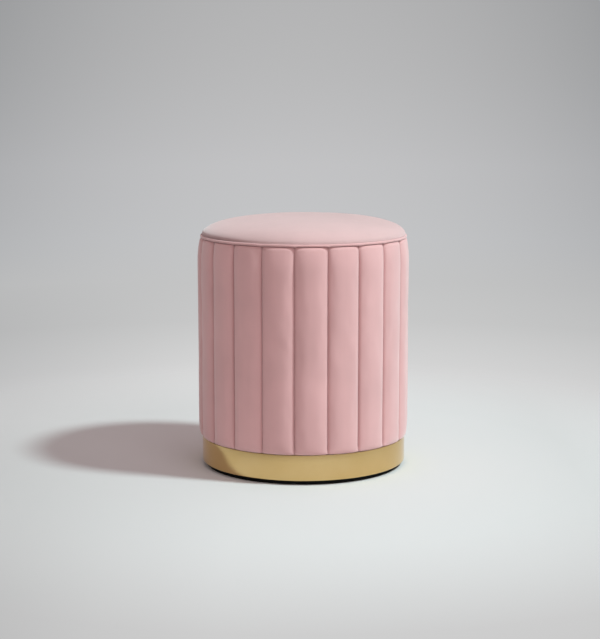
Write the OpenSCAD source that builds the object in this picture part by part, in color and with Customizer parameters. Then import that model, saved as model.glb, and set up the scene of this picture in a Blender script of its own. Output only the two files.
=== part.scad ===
// Round drum ottoman with a channel-sewn velvet side, a crowned seat and a brass plinth band.
// Millimetres, +Z up, origin on the floor under the middle of the drum, front towards -Y.

/* [Drum] */
// Width of the drum over the crests of its channels
drum_d = 350; // [320:5:420]
// Height of the upholstered side, from the plinth to the top seam
side_h = 330; // [250:1:380]
// Number of sewn channels round the side
channel_n = 20; // [16:1:24]
// How far the seams between channels lie in from the crests
channel_depth = 6; // [4:0.5:8]
// Thickness of the padding at a crest, from the backing cloth out, velvet included
pad_t = 14; // [12:0.5:18]
// Thickness of the velvet
velvet_t = 1.2; // [0.8:0.1:1.6]
// How far a channel's shoulder rolls in at the top seam
shoulder_w = 7; // [4:0.5:8]
// Height over which the shoulder rolls in
shoulder_h = 30; // [16:1:34]
// Height over which the foot of a channel is drawn in to the plinth
tuck_h = 13; // [8:1:26]

/* [Seat] */
// Height of the crown above the top seam
crown_h = 33.5; // [28:0.5:42]
// How squarely the crown turns over at its edge, from a plain oval at 2 upwards
crown_fullness = 3.7; // [2.5:0.1:5]
// Thickness of the wadding between the seat foam and its velvet
wadding_t = 4; // [2:0.5:8]
// Diameter of the cord in the welt
cord_d = 2.8; // [2:0.2:4]
// Thickness of the velvet strip round the cord, pressed flat by the sewing
welt_velvet_t = 0.7; // [0.4:0.1:1]

/* [Frame] */
// Thickness of the top and bottom boards
board_t = 15; // [12:1:22]
// Thickness of the bent shell round the frame
shell_t = 3; // [2:0.5:5]
// Thickness of the backing cloth that the channels are sewn to
backing_t = 0.8; // [0.4:0.1:1.2]
// How far the padding stands above the top board
pad_rise = 9; // [6:1:14]
// Number of uprights
upright_n = 6; // [5:1:8]
// Width of an upright, along the shell
upright_w = 40; // [32:1:56]
// Thickness of an upright, towards the middle
upright_t = 22; // [18:1:30]

/* [Plinth] */
// Thickness of each of the two plinth rings
plinth_layer_t = 20.25; // [16:0.25:28]
// Width of the plinth rings from their outer to their inner edge
plinth_w = 27; // [22:1:36]
// How far the brass band lies in from the crests
band_inset = 5.8; // [4:0.2:9]
// Thickness of the brass band
band_t = 1; // [0.8:0.1:1.5]
// Width of the lip that the band turns in under the plinth
band_lip_w = 5; // [3:0.5:6]
// Thickness of the dust cover
dust_t = 0.6; // [0.4:0.1:1]

/* [Foot] */
// Height of the foot ring
foot_h = 7.4; // [7:0.2:12]
// Width of the foot ring from its outer to its inner edge
foot_w = 24; // [18:1:32]
// How far the foot ring lies in from the face of the band
foot_inset = 7; // [6:0.5:12]

/* [Screws] */
// Diameter of a foot screw
foot_screw_d = 3.5; // [3:0.5:4.5]
// How far a foot screw bites into the plinth
foot_screw_bite = 15; // [10:1:20]
// Depth of the foot screw's counterbore
foot_screw_sink = 4; // [3:0.2:5]
// Diameter of a plinth screw
plinth_screw_d = 5; // [4:0.5:6]
// How far a plinth screw bites into the bottom board
plinth_screw_bite = 11; // [8:1:14]
// Depth of the plinth screw's counterbore
plinth_screw_sink = 5; // [4:0.5:8]
// Diameter of a board screw
board_screw_d = 4; // [3:0.5:5]
// How far a board screw bites into its upright
board_screw_bite = 25; // [18:1:40]

/* [Tacks, pins and staples] */
// Diameter of a shell tack
tack_d = 1.4; // [1:0.1:2]
// How far a shell tack bites into a board
tack_bite = 12; // [8:1:18]
// Number of shell tacks in each bay between two uprights, at each board
tacks_per_bay = 2; // [2, 4]
// Diameter of a band pin
pin_d = 1.2; // [1:0.1:1.8]
// How far a band pin bites into the plinth
pin_bite = 11; // [6:1:13]
// Width of a staple over its crown
staple_w = 10; // [8:1:14]
// Thickness of the staple wire
staple_t = 0.7; // [0.5:0.1:1]
// How far a staple bites into the bottom board
staple_bite = 7; // [5:1:10]

/* [Hidden] */
$fn = 120;
front_a = -90;
back_a = 90;

// Clearances, and the overrun of every cut
glue_gap = 0.2;
fit_gap = 0.2;
foam_gap = 0.3;
sew_gap = 0.1;
hole_gap = 0.1;
seam_slit = 0.5;
cut = 1;

// Steps in the rolled ends of the side and over the crown
roll_steps = 8;
crown_steps = 20;

// Radii from the crests of the channels inwards
crest_r = drum_d / 2;
groove_r = crest_r - channel_depth;
seam_r = crest_r - shoulder_w;
backing_r = crest_r - pad_t;
backing_r_in = backing_r - backing_t;
shell_r = backing_r_in - fit_gap;
shell_r_in = shell_r - shell_t;
board_r = shell_r_in - fit_gap;
band_r = crest_r - band_inset;
plinth_r = band_r - band_t - glue_gap;
plinth_r_in = plinth_r - plinth_w;
foot_r = band_r - foot_inset;
foot_r_in = foot_r - foot_w;

// Heights from the floor up
plinth_z = foot_h + dust_t;
band_z = plinth_z - band_t;
plinth_top = plinth_z + 2 * plinth_layer_t;
frame_z = plinth_top + velvet_t;
seam_z = plinth_top + side_h;
frame_top = seam_z - pad_rise;
upright_z = frame_z + board_t;
upright_h = frame_top - board_t - upright_z;

// One channel is an arc through both its seams and the crest between them
channel_a = 360 / channel_n;
arc_c = (crest_r * crest_r - groove_r * groove_r) / (2 * (crest_r - groove_r * cos(channel_a / 2)));
arc_r = crest_r - arc_c;

// The dust cover and the seam allowances
dust_margin = 1;
dust_r = foot_r - dust_margin;
seat_margin = 2.5;
seat_base_r = shell_r - seat_margin;
allowance_gap = 1;
allowance_r = seat_base_r + allowance_gap;

// The welt lies on the seam: side velvet, two plies of welt velvet, then the seat's velvet
cord_r = cord_d / 2;
welt_hole_r = cord_r + sew_gap;
welt_r = welt_hole_r + welt_velvet_t;
welt_z = seam_z + sew_gap + welt_r;
welt_ply_t = 2 * welt_velvet_t;
seat_seam_z = seam_z + welt_ply_t;

// The crown stands straight up at the welt and rounds over to its middle
crown_swell = 0.5;
welt_clear = 0.5;
crown_r = seam_r + crown_swell;
crown_rise = seam_z + crown_h - welt_z;
crown_start_a = asin((welt_r + welt_clear) / crown_rise);
wadding_in = velvet_t + sew_gap;
seat_foam_in = wadding_in + wadding_t + sew_gap;

// Uprights stand against the shell, with two screws to each board
bay_a = 360 / upright_n;
upright_face_r = sqrt(board_r * board_r - upright_w * upright_w / 4);
upright_mid_r = upright_face_r - upright_t / 2;
upright_screw_share = 0.3;
upright_screw_y = upright_w * upright_screw_share;

// Screw sizes follow the shank: head width, head height, drive slot length and width, and tip
head_d_share = 2;
head_h_share = 0.6;
slot_l_share = 1.1;
slot_w_share = 0.25;
slot_depth_share = 0.6;
tip_share = 0.2;
foot_screw_l = foot_h - foot_screw_sink + dust_t + foot_screw_bite;
foot_screw_r = (max(foot_r_in, plinth_r_in) + foot_r) / 2;
plinth_screw_l = plinth_top - plinth_z - plinth_screw_sink + velvet_t + plinth_screw_bite;
plinth_screw_r = (plinth_r_in + board_r) / 2;
board_screw_l = board_t + board_screw_bite;

// Shell tacks and band pins: flat heads, wider than the shank
tack_head_d = 3.6;
tack_head_t = 0.5;
tack_n = tacks_per_bay * upright_n;
tack_zs = [frame_z + board_t / 2, frame_top - board_t / 2];
pin_head_d = 3;
pin_head_t = 0.6;
pin_side = 6;
pin_zs = [plinth_z + plinth_layer_t / 2, plinth_z + plinth_layer_t * 3 / 2];

// Staples hold the hem just inside the plinth
staple_inset = 6;
staple_r = plinth_r_in - staple_inset;
hem_margin = 6;
hem_r = staple_r - hem_margin;

velvet = "#d9b1af";
velvet_dark = "#c39a98";
brass = "#c4a572";
black = "#161514";
plywood = "#c8a77a";
hardboard = "#8a6844";
foam = "#efe3b8";
cloth = "#d8d2c4";
wadding = "#f4f2ec";
steel = "#a9abad";

function two_digits(i) = str(i < 10 ? "0" : "", i);
function upright_name(i) = str("upright_", i);
function foam_name(i) = str("channel_foam_", two_digits(i));

// Outline of the side from the plinth up to the top seam, drawn in at both ends.
// inset moves it inwards, to the back of the velvet or to the face of the foam.
function side_outline(inset) = concat(
    [for (i = [0 : roll_steps]) let (a = -90 + 90 * i / roll_steps)
        [plinth_r + (crest_r - plinth_r - inset) * cos(a),
         plinth_top + tuck_h + (tuck_h - inset) * sin(a)]],
    [for (i = [0 : roll_steps]) let (a = 90 * i / roll_steps)
        [seam_r + (shoulder_w - inset) * cos(a),
         seam_z - shoulder_h + (shoulder_h - inset) * sin(a)]]
);

// Outline of the crown from the welt up to its middle, inset towards the foam
function crown_outline(inset) = [
    for (i = [0 : crown_steps]) let (a = crown_start_a + (90 - crown_start_a) * i / crown_steps)
        [(crown_r - inset) * pow(max(0, cos(a)), 2 / crown_fullness),
         welt_z + (crown_rise - inset) * sin(a)]
];

// Copies of a piece at n even places round the drum
module around(n, first_a) {
    for (i = [0 : n - 1]) rotate([0, 0, first_a + i * 360 / n]) children();
}

module ring(r_in, r_out, h) {
    difference() {
        cylinder(h = h, r = r_out);
        translate([0, 0, -cut]) cylinder(h = h + 2 * cut, r = r_in);
    }
}

// Cross slot for a screwdriver, centred where it stands
module drive_slot(d) {
    slot = [d * slot_l_share, d * slot_w_share, d * slot_depth_share];
    for (a = [0, 90]) rotate([0, 0, a]) cube(slot, center = true);
}

module shank(d, l) {
    cylinder(h = l - d, r = d / 2);
    translate([0, 0, l - d]) cylinder(h = d, r1 = d / 2, r2 = d * tip_share / 2);
}

// Screw with a flat-bottomed head, pointing up from the face that its head bears on
module pan_screw(d, l) {
    shank(d, l);
    difference() {
        translate([0, 0, -d * head_h_share]) cylinder(h = d * head_h_share, r = d * head_d_share / 2);
        translate([0, 0, -d * head_h_share]) drive_slot(d);
    }
}

// Countersunk screw pointing up, with its head flush at the start
module flat_screw(d, l) {
    difference() {
        union() {
            shank(d, l);
            cylinder(h = d * head_h_share, r1 = d * head_d_share / 2, r2 = d / 2);
        }
        drive_slot(d);
    }
}

module screw_hole(d, l) {
    translate([0, 0, -cut]) cylinder(h = l + hole_gap + cut, r = d / 2 + hole_gap);
}

module pan_screw_hole(d, l, sink) {
    screw_hole(d, l);
    translate([0, 0, -sink - cut]) cylinder(h = sink + cut, r = d * head_d_share / 2 + fit_gap);
}

module flat_screw_hole(d, l) {
    screw_hole(d, l);
    cylinder(h = d * head_h_share, r1 = d * head_d_share / 2 + hole_gap, r2 = d / 2 + hole_gap);
}

// Nail pointing from the outside towards the axis, with its head's outer face at radius r
module nail(r, d, l, head_d, head_t, gap = 0) {
    translate([r + gap, 0, 0]) rotate([0, -90, 0]) {
        cylinder(h = l + 2 * gap, r = d / 2 + gap);
        cylinder(h = head_t + 2 * gap, r = head_d / 2 + gap);
    }
}

module at_foot_screws() {
    around(upright_n, back_a) translate([foot_screw_r, 0, foot_screw_sink]) children();
}

module at_plinth_screws() {
    around(upright_n, back_a + bay_a / 2)
        translate([plinth_screw_r, 0, plinth_z + plinth_screw_sink]) children();
}

module at_board_screws() {
    around(upright_n, back_a) for (side = [-1, 1])
        translate([upright_mid_r, side * upright_screw_y, 0]) children();
}

module foot_screw_holes() {
    at_foot_screws() pan_screw_hole(foot_screw_d, foot_screw_l, foot_screw_sink);
}

module plinth_screw_holes() {
    at_plinth_screws() pan_screw_hole(plinth_screw_d, plinth_screw_l, plinth_screw_sink);
}

module bottom_screw_holes() {
    translate([0, 0, frame_z]) at_board_screws() flat_screw_hole(board_screw_d, board_screw_l);
}

module top_screw_holes() {
    translate([0, 0, frame_top]) mirror([0, 0, 1])
        at_board_screws() flat_screw_hole(board_screw_d, board_screw_l);
}

module tacks(gap = 0) {
    tack_l = shell_t + fit_gap + tack_bite;
    for (z = tack_zs) translate([0, 0, z])
        around(tack_n, back_a + 180 / tack_n)
            nail(shell_r, tack_d, tack_l, tack_head_d, tack_head_t, gap);
}

module pins(gap = 0) {
    pin_l = pin_head_t + band_t + glue_gap + pin_bite;
    pin_a = atan(pin_side / band_r);
    for (z = pin_zs, side = [-1, 1]) translate([0, 0, z]) rotate([0, 0, back_a + side * pin_a])
        nail(band_r + pin_head_t, pin_d, pin_l, pin_head_d, pin_head_t, gap);
}

// One staple under the hem, its two legs pointing up
module staple(gap = 0) {
    leg = staple_t + 2 * gap;
    leg_h = staple_t + velvet_t + staple_bite + 2 * gap;
    translate([-leg / 2, -staple_w / 2 - gap, plinth_top - staple_t - gap]) {
        cube([leg, staple_w + 2 * gap, leg]);
        for (y = [0, staple_w - staple_t]) translate([0, y, 0]) cube([leg, leg, leg_h]);
    }
}

module staples(gap = 0) {
    around(channel_n, front_a) translate([staple_r, 0, 0]) staple(gap);
}

// The space of one channel seen from above, facing +X, between its two seams
module channel_section(inset) {
    reach = crest_r + cut;
    apex = inset / sin(channel_a / 2);
    wing = [reach * cos(channel_a / 2), reach * sin(channel_a / 2)];
    intersection() {
        translate([arc_c, 0]) circle(r = arc_r - inset);
        polygon([[apex, 0], [apex + wing.x, wing.y], [apex + wing.x, -wing.y]]);
    }
}

// Wall of the side as it is turned round the axis, from r_in out to the inset outline
module side_wall(inset, r_in) {
    polygon(concat(
        [[r_in, plinth_top + inset]],
        side_outline(inset),
        [[r_in, seam_z - inset]]
    ));
}

// Area under the crown down to a level z0
module crown_area(inset, z0) {
    outline = crown_outline(inset);
    polygon(concat([[0, z0], [outline[0].x, z0]], outline));
}

module welt_area(r) {
    translate([seam_r, welt_z]) circle(r = r);
}

module foot_ring() {
    color(black) difference() {
        ring(foot_r_in, foot_r, foot_h);
        foot_screw_holes();
    }
}

module foot_screws() {
    color(steel) at_foot_screws() pan_screw(foot_screw_d, foot_screw_l);
}

module dust_cover() {
    color(black) difference() {
        translate([0, 0, foot_h]) cylinder(h = dust_t, r = dust_r);
        foot_screw_holes();
    }
}

module plinth_ring(z) {
    color(plywood) difference() {
        translate([0, 0, z]) ring(plinth_r_in, plinth_r, plinth_layer_t);
        foot_screw_holes();
        plinth_screw_holes();
        pins(hole_gap);
    }
}

module plinth_ring_lower() {
    plinth_ring(plinth_z);
}

module plinth_ring_upper() {
    plinth_ring(plinth_z + plinth_layer_t);
}

module plinth_screws() {
    color(steel) at_plinth_screws() pan_screw(plinth_screw_d, plinth_screw_l);
}

// Band with its lip turned in at the bottom and its butt joint at the back
module brass_band() {
    color(brass) difference() {
        rotate_extrude() {
            translate([band_r - band_t, band_z]) square([band_t, plinth_top - band_z]);
            translate([band_r - band_lip_w, band_z]) square([band_lip_w, band_t]);
        }
        translate([-seam_slit / 2, 0, band_z - cut])
            cube([seam_slit, band_r + cut, plinth_top - band_z + 2 * cut]);
        pins(hole_gap);
    }
}

module band_pins() {
    color(brass) pins();
}

module bottom_board() {
    color(plywood) difference() {
        translate([0, 0, frame_z]) cylinder(h = board_t, r = board_r);
        plinth_screw_holes();
        bottom_screw_holes();
        tacks(hole_gap);
        staples(hole_gap);
    }
}

module bottom_board_screws() {
    color(steel) translate([0, 0, frame_z])
        at_board_screws() flat_screw(board_screw_d, board_screw_l);
}

module upright(i) {
    color(plywood) difference() {
        rotate([0, 0, back_a + (i - 1) * bay_a])
            translate([upright_face_r - upright_t, -upright_w / 2, upright_z])
            cube([upright_t, upright_w, upright_h]);
        bottom_screw_holes();
        top_screw_holes();
    }
}

module top_board() {
    color(plywood) difference() {
        translate([0, 0, frame_top - board_t]) cylinder(h = board_t, r = board_r);
        top_screw_holes();
        tacks(hole_gap);
    }
}

module top_board_screws() {
    color(steel) translate([0, 0, frame_top]) mirror([0, 0, 1])
        at_board_screws() flat_screw(board_screw_d, board_screw_l);
}

// Thin board bent round the frame, its ends meeting on the back upright
module drum_shell() {
    shell_h = frame_top - frame_z;
    color(hardboard) difference() {
        translate([0, 0, frame_z]) ring(shell_r_in, shell_r, shell_h);
        translate([-seam_slit / 2, 0, frame_z - cut]) cube([seam_slit, shell_r + cut, shell_h + 2 * cut]);
        tacks(hole_gap);
    }
}

module shell_tacks() {
    color(steel) tacks();
}

module backing_cloth() {
    color(cloth) translate([0, 0, frame_z])
        ring(backing_r_in, backing_r - sew_gap, seam_z - velvet_t - frame_z);
}

// Foam strip in its sewn pocket, with the channel's crest and its drawn-in ends
module channel_foam(i) {
    inset = velvet_t + foam_gap;
    color(foam) rotate([0, 0, front_a + (i - 1) * channel_a]) intersection() {
        rotate_extrude() side_wall(inset, backing_r + foam_gap);
        linear_extrude(seam_z) channel_section(inset);
    }
}

// Velvet of the side: pockets round the foam strips, a hem under the frame, an allowance at the seam
module side_cover() {
    color(velvet) difference() {
        intersection() {
            rotate_extrude() polygon(concat(
                [[hem_r, plinth_top]],
                side_outline(0),
                [[allowance_r, seam_z], [allowance_r, seam_z - velvet_t]],
                [[backing_r, seam_z - velvet_t], [backing_r, frame_z], [hem_r, frame_z]]
            ));
            linear_extrude(seam_z + cut) union() {
                circle(r = backing_r);
                around(channel_n, front_a) translate([arc_c, 0]) circle(r = arc_r);
            }
        }
        intersection() {
            rotate_extrude() side_wall(velvet_t, backing_r - cut);
            linear_extrude(seam_z) around(channel_n, front_a) channel_section(velvet_t);
        }
        plinth_screw_holes();
        staples(hole_gap);
    }
}

module cover_staples() {
    color(steel) staples();
}

module welt_cord() {
    color(cloth) rotate_extrude() welt_area(cord_r);
}

// Velvet strip folded round the cord, its two plies sewn into the seam
module welt_cover() {
    color(velvet_dark) rotate_extrude() difference() {
        union() {
            welt_area(welt_r);
            translate([allowance_r, seam_z]) square([seam_r - allowance_r, welt_ply_t]);
        }
        welt_area(welt_hole_r);
    }
}

// Seat foam: a base inside the seam allowances, spreading over them under the crown
module seat_foam() {
    over_seam_z = seat_seam_z + velvet_t + foam_gap;
    color(foam) rotate_extrude() {
        difference() {
            crown_area(seat_foam_in, over_seam_z);
            welt_area(welt_r + sew_gap + velvet_t + sew_gap);
        }
        translate([0, frame_top]) square([seat_base_r, over_seam_z - frame_top + cut]);
    }
}

module seat_wadding() {
    over_seam_z = seat_seam_z + velvet_t + foam_gap;
    color(wadding) rotate_extrude() difference() {
        crown_area(wadding_in, over_seam_z);
        crown_area(wadding_in + wadding_t, over_seam_z - cut);
        welt_area(welt_r + sew_gap + velvet_t + sew_gap);
    }
}

// Velvet of the seat, wrapped in over the welt to its seam allowance
module seat_cover() {
    color(velvet) rotate_extrude() difference() {
        intersection() {
            crown_area(0, seat_seam_z);
            union() {
                difference() {
                    crown_area(0, seat_seam_z);
                    crown_area(velvet_t, seat_seam_z - cut);
                }
                welt_area(welt_r + sew_gap + velvet_t);
                translate([allowance_r, seat_seam_z]) square([seam_r - allowance_r, velvet_t]);
            }
        }
        welt_area(welt_r + sew_gap);
    }
}

foot_ring();
foot_screws();
dust_cover();
plinth_ring_lower();
plinth_ring_upper();
plinth_screws();
brass_band();
band_pins();
bottom_board();
bottom_board_screws();
for (i = [1 : upright_n]) upright(i);
top_board();
top_board_screws();
drum_shell();
shell_tacks();
backing_cloth();
for (i = [1 : channel_n]) channel_foam(i);
side_cover();
cover_staples();
welt_cord();
welt_cover();
seat_foam();
seat_wadding();
seat_cover();
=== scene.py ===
import math

import bmesh
import bpy
from mathutils import Matrix, Vector, noise


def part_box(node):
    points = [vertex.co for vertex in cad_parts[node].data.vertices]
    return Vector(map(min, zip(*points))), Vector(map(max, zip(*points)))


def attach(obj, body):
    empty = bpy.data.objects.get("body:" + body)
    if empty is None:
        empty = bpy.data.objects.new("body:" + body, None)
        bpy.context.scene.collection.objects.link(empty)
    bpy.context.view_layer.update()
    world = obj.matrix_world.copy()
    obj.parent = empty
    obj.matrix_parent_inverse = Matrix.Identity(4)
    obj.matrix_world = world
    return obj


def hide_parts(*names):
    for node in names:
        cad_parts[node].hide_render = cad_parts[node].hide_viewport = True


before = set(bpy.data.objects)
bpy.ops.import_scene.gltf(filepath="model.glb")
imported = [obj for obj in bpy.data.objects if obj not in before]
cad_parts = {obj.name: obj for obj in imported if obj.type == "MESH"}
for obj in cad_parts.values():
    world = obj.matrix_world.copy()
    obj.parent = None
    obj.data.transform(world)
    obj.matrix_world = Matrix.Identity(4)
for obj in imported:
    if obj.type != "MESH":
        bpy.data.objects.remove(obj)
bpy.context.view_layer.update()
mm = 0.001
hair = 0.5 * mm    # lengths under this count as none
mergeReach = 0.001 * mm
settledDigits = 6          # of a place in metres, where a mesh's order is settled


# A socket that takes plain arithmetic, so that shader maths reads as an expression
class Value:
    def __init__(self, finish, socket):
        self.finish = finish
        self.socket = socket

    def maths(self, operation, *others):
        made = self.finish.node("Math", {"operation": operation}, dict(enumerate((self, *others))))
        return made["Value"]

    def __add__(self, other):
        return self.maths("ADD", other)

    def __radd__(self, other):
        return self.maths("ADD", other)

    def __sub__(self, other):
        return self.maths("SUBTRACT", other)

    def __rsub__(self, other):
        return self.finish.node("Math", {"operation": "SUBTRACT"}, {0: other, 1: self})["Value"]

    def __mul__(self, other):
        return self.maths("MULTIPLY", other)

    def __rmul__(self, other):
        return self.maths("MULTIPLY", other)

    def __truediv__(self, other):
        return self.maths("DIVIDE", other)

    def __pow__(self, other):
        return self.maths("POWER", other)


class Made:
    def __init__(self, finish, node):
        self.finish = finish
        self.node = node

    def __getitem__(self, name):
        return Value(self.finish, self.node.outputs[name])


# One material and its node tree
class Finish:
    def __init__(self, name):
        self.material = bpy.data.materials.new(name)
        self.material.use_nodes = True
        self.tree = self.material.node_tree
        self.tree.nodes.clear()

    def node(self, kind, settings=None, inputs=None):
        made = self.tree.nodes.new("ShaderNode" + kind)
        for key, value in (settings or {}).items():
            if key == "stops":
                self.setStops(made.color_ramp, value)
            else:
                setattr(made, key, value)
        for key, value in (inputs or {}).items():
            socket = self.findInput(made, key)
            if isinstance(value, Value):
                self.tree.links.new(value.socket, socket)
            else:
                socket.default_value = value
        return Made(self, made)

    def findInput(self, made, key):
        if isinstance(key, int):
            return made.inputs[key]
        for socket in made.inputs:
            if socket.identifier == key:
                return socket
        return made.inputs[key]

    def setStops(self, ramp, stops):
        while len(ramp.elements) < len(stops):
            ramp.elements.new(0.5)
        for element, (place, colour) in zip(ramp.elements, stops):
            element.position = place
            element.color = (*colour, 1)

    def objectPlace(self):
        return self.node("TexCoord")["Object"]

    def stretched(self, place, scale):
        return self.node("VectorMath", {"operation": "MULTIPLY"}, {0: place, 1: scale})["Vector"]

    def noise(self, place, scale, detail=2.0, roughness=0.5):
        inputs = {"Vector": place, "Scale": scale, "Detail": detail, "Roughness": roughness}
        return self.node("TexNoise", None, inputs)["Fac"]

    def cells(self, place, scale, feature="F1", randomness=1.0):
        inputs = {"Vector": place, "Scale": scale, "Randomness": randomness}
        return self.node("TexVoronoi", {"feature": feature}, inputs)["Distance"]

    def mixed(self, factor, first, second, blend="MIX"):
        made = self.node("Mix", {"data_type": "RGBA", "blend_type": blend},
                         {"Factor_Float": factor, "A_Color": first, "B_Color": second})
        return Value(self, made.node.outputs[2])

    def spread(self, value, low, high, toLow=0.0, toHigh=1.0):
        inputs = {"Value": value, "From Min": low, "From Max": high, "To Min": toLow, "To Max": toHigh}
        return self.node("MapRange", {"clamp": True}, inputs)["Result"]

    def bump(self, height, distance, strength=1.0, under=None):
        inputs = {"Height": height, "Distance": distance, "Strength": strength}
        if under is not None:
            inputs["Normal"] = under
        return self.node("Bump", None, inputs)["Normal"]

    def principled(self, **sockets):
        inputs = {key.replace("_", " "): value for key, value in sockets.items()}
        return self.node("BsdfPrincipled", None, inputs)

    def output(self, shader):
        self.node("OutputMaterial", None, {"Surface": shader})

    def close(self, **sockets):
        self.output(self.principled(**sockets)["BSDF"])
        return self.material


def rgb(*values):
    return (*values, 1.0)


def paint(thing, material):
    thing.data.materials.clear()
    thing.data.materials.append(material)


# Velvet: a short pile that lies in brushed patches, paler at a glancing angle, with painted shade in its
# seams and folds
velvetLook = {
    "deep": rgb(0.680, 0.381, 0.379),
    "pale": rgb(0.755, 0.423, 0.421),
    # The colour of the painted shade in seams and creases
    "inFold": rgb(0.26, 0.115, 0.112),
    "roughness": (0.86, 0.96),
    "sheen": 0.525,
    "sheenRoughness": 0.5,
    "sheenTint": rgb(1.0, 1.0, 1.0),
    "patchScale": 11.0,
    "nap": (120.0, 120.0, 9.0),
    "napDepth": 0.10 * mm,
    "pileScale": 1500.0,
    "pileDepth": 0.10 * mm,
    "lieShares": (0.75, 0.15, 0.1),    # of the patches, the nap and the pile
    "lieRange": (0.34, 0.66),
}


def velvet(name, shade=(1.0, 1.0, 1.0), sheen=velvetLook["sheen"],
           sheenRoughness=velvetLook["sheenRoughness"]):
    look = velvetLook
    finish = Finish(name)
    place = finish.objectPlace()
    patches = finish.noise(place, look["patchScale"], 3.0, 0.5)
    nap = finish.noise(finish.stretched(place, look["nap"]), 1.0, 2.0)
    pile = finish.noise(place, look["pileScale"], 2.0, 0.6)
    ofPatches, ofNap, ofPile = look["lieShares"]
    lie = finish.spread(patches * ofPatches + nap * ofNap + pile * ofPile, *look["lieRange"])
    deep = rgb(*(c * part for c, part in zip(look["deep"], shade)))
    pale = rgb(*(c * part for c, part in zip(look["pale"], shade)))
    colour = finish.mixed(lie, deep, pale)
    # Painted shade: the colour darkens toward the fold colour where the mesh's attribute marks seams and
    # creases
    fold = finish.node("Attribute", {"attribute_name": "fold"})["Fac"]
    colour = finish.mixed(fold, colour, look["inFold"])
    normal = finish.bump(pile, look["pileDepth"], 0.5)
    normal = finish.bump(nap, look["napDepth"], 0.25, normal)
    return finish.close(
        Base_Color=colour,
        Roughness=finish.spread(lie, 0.0, 1.0, *look["roughness"]),
        Normal=normal,
        Specular_IOR_Level=0.2,
        Sheen_Weight=sheen,
        Sheen_Roughness=sheenRoughness,
        Sheen_Tint=look["sheenTint"],
    )


# Satin brass: fine brushing round the band, faint cloudy patches
brassLook = {
    "colour": rgb(0.69, 0.475, 0.205),
    "worn": rgb(0.73, 0.515, 0.24),
    "roughness": (0.08, 0.13),
    "cloudScale": 22.0,
    "brushing": (9.0, 9.0, 2600.0),
    "brushDepth": 0.02 * mm,
}


def satinBrass():
    look = brassLook
    finish = Finish("satinBrass")
    place = finish.objectPlace()
    cloud = finish.noise(place, look["cloudScale"], 3.0)
    lines = finish.noise(finish.stretched(place, look["brushing"]), 1.0, 2.0)
    colour = finish.mixed(finish.spread(cloud, 0.35, 0.75), look["colour"], look["worn"])
    rough = finish.spread(lines * 0.6 + cloud * 0.4, 0.3, 0.7, *look["roughness"])
    return finish.close(Base_Color=colour, Metallic=1.0, Roughness=rough,
                        Normal=finish.bump(lines, look["brushDepth"], 0.25))


# Black plastic: a fine moulded grain, a little paler where it is scuffed
blackLook = {
    "colour": rgb(0.002, 0.002, 0.002),
    "scuffed": rgb(0.007, 0.0065, 0.006),
    "roughness": (0.6, 0.75),
    "grainScale": 900.0,
    "grainDepth": 0.08 * mm,
    "scuffScale": 45.0,
}


def mouldedBlack():
    look = blackLook
    finish = Finish("mouldedBlack")
    place = finish.objectPlace()
    grain = finish.noise(place, look["grainScale"], 3.0, 0.6)
    scuff = finish.spread(finish.noise(place, look["scuffScale"], 4.0, 0.7), 0.55, 0.8)
    colour = finish.mixed(scuff, look["colour"], look["scuffed"])
    return finish.close(Base_Color=colour, Roughness=finish.spread(grain, 0.3, 0.7, *look["roughness"]),
                        Normal=finish.bump(grain, look["grainDepth"], 0.5), Specular_IOR_Level=0.15)


# Black non-woven cloth: pressed fibres with a lattice of heat-bond dots
dustLook = {
    "dark": rgb(0.012, 0.012, 0.013),
    "pale": rgb(0.045, 0.044, 0.046),
    "roughness": (0.8, 0.95),
    "fibre": (700.0, 120.0, 700.0),
    "crossFibre": (120.0, 700.0, 700.0),
    "dotScale": 420.0,
    "depth": 0.12 * mm,
}


def dustCloth():
    look = dustLook
    finish = Finish("dustCloth")
    place = finish.objectPlace()
    fibre = finish.noise(finish.stretched(place, look["fibre"]), 1.0, 3.0, 0.7)
    crossFibre = finish.noise(finish.stretched(place, look["crossFibre"]), 1.0, 3.0, 0.7)
    dots = finish.cells(place, look["dotScale"], randomness=0.0)
    bond = finish.spread(dots, 0.12, 0.3)
    felt = (fibre + crossFibre) * 0.5
    colour = finish.mixed(finish.spread(felt, 0.35, 0.7), look["dark"], look["pale"])
    return finish.close(Base_Color=colour, Roughness=finish.spread(felt, 0.3, 0.7, *look["roughness"]),
                        Normal=finish.bump(felt * 0.5 + bond * 0.5, look["depth"], 0.6))


# Plywood: veneers show as bands up its edges, with grain along each face
plywoodLook = {
    "dark": (0.36, 0.22, 0.11),
    "pale": (0.60, 0.43, 0.25),
    "roughness": (0.55, 0.75),
    "grain": (24.0, 420.0, 420.0),
    "rings": (3.0, 30.0, 30.0),
    "grainDepth": 0.15 * mm,
}


def plywood(name, ply, tone):
    look = plywoodLook
    finish = Finish(name)
    place = finish.objectPlace()
    height = finish.node("SeparateXYZ", None, {"Vector": place})["Z"]
    band = (height / ply).maths("PINGPONG", 1.0)
    grain = finish.noise(finish.stretched(place, look["grain"]), 1.0, 4.0, 0.6)
    rings = finish.noise(finish.stretched(place, look["rings"]), 1.0, 3.0, 0.5)
    pale = rgb(*(c * tone for c in look["pale"]))
    dark = rgb(*(c * tone for c in look["dark"]))
    lie = finish.spread(grain * 0.45 + rings * 0.35 + band * 0.2, 0.3, 0.7)
    return finish.close(Base_Color=finish.mixed(lie, dark, pale),
                        Roughness=finish.spread(grain, 0.3, 0.7, *look["roughness"]),
                        Normal=finish.bump(grain, look["grainDepth"], 0.4))


# Hardboard: pressed brown fibre with the print of the press's mesh
hardboardLook = {
    "dark": rgb(0.13, 0.06, 0.026),
    "pale": rgb(0.30, 0.165, 0.08),
    "roughness": (0.6, 0.8),
    "speckScale": 800.0,
    "meshScale": 600.0,
    "depth": 0.1 * mm,
}


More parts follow.
